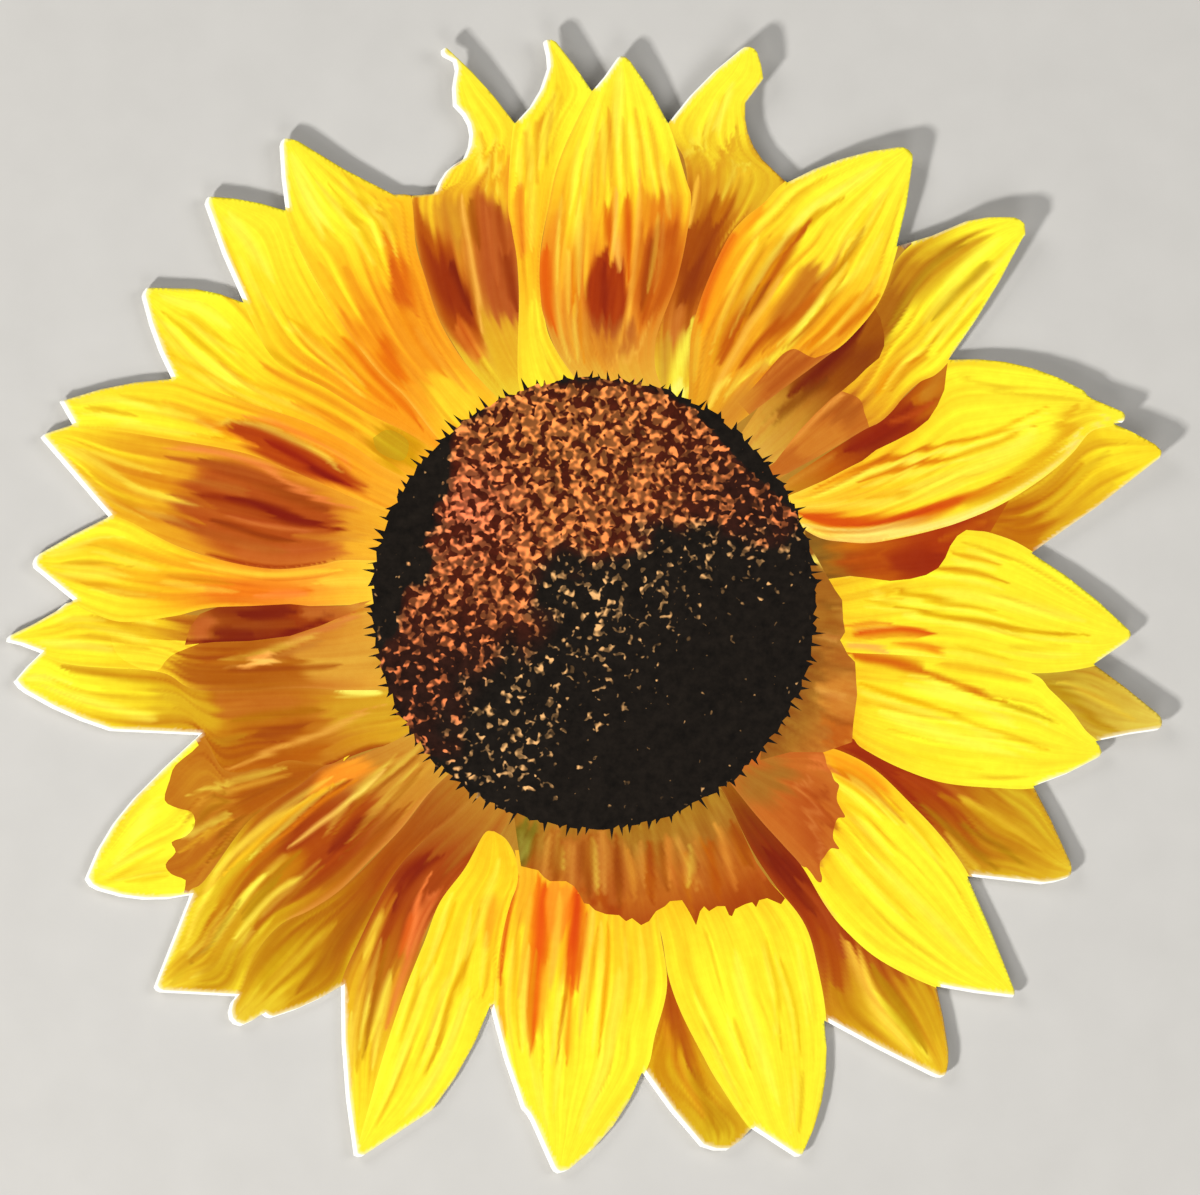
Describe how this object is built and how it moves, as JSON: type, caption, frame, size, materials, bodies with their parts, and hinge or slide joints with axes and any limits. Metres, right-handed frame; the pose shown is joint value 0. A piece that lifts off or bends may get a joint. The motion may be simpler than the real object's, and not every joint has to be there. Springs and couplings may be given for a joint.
{
  "type": "printed card sunflower cut-out",
  "caption": "Flat die-cut piece of printed art card in the outline of a sunflower, with pointed petals round a dark disc, for decorating a table, a gift or a page.",
  "frame": {"origin": "on the back of the card, under the middle of the printed disc", "axes": "+Z out of the printed face, +Y towards the top of the picture, +X towards its right"},
  "size_m": [0.076, 0.0745, 0.0017],
  "materials": {
    "printed_art_card": "satin"
  },
  "bodies": {
    "root": {"printed_card": "printed_art_card"}
  },
  "joints": []
}
